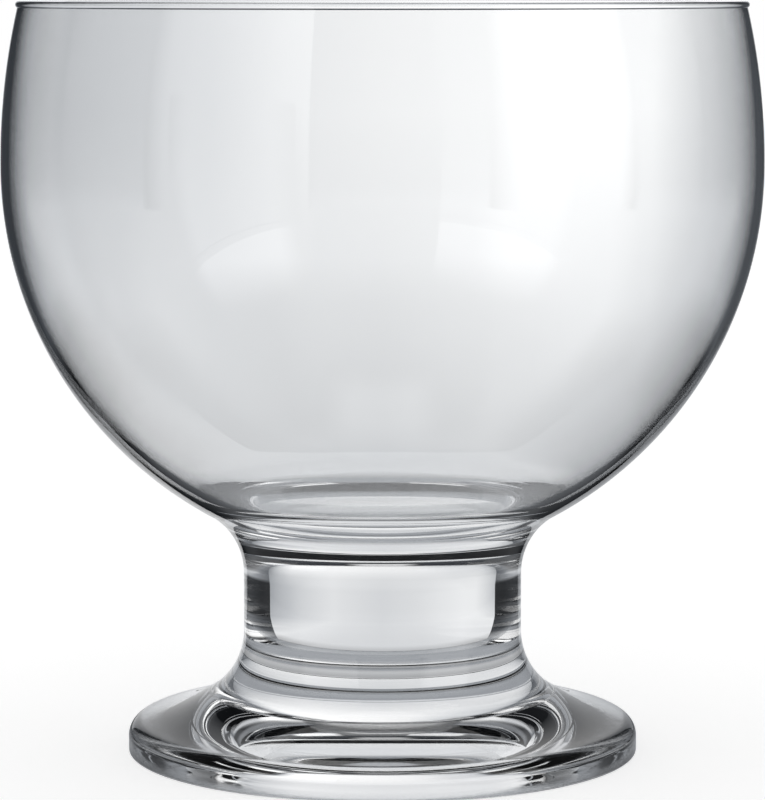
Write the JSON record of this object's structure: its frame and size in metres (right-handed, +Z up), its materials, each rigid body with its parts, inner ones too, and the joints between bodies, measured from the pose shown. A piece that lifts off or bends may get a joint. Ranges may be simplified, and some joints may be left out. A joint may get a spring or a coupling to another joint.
{
  "type": "ice cream glass",
  "caption": "Clear footed ice cream glass: a wide round bowl with a beaded rim on a thick solid stem and a round foot, for serving ice cream and desserts.",
  "frame": {"origin": "centre of the foot's underside, on the plane that the glass stands on", "axes": "+Z up along the axis of the glass, towards the rim; X and Y are alike, because every piece is turned about Z"},
  "size_m": [0.106, 0.106, 0.1053],
  "materials": {
    "clear_glass": "clear fire-polished soda-lime glass"
  },
  "bodies": {
    "root": {"bowl": "clear_glass", "stem": "clear_glass", "foot": "clear_glass"}
  },
  "joints": []
}
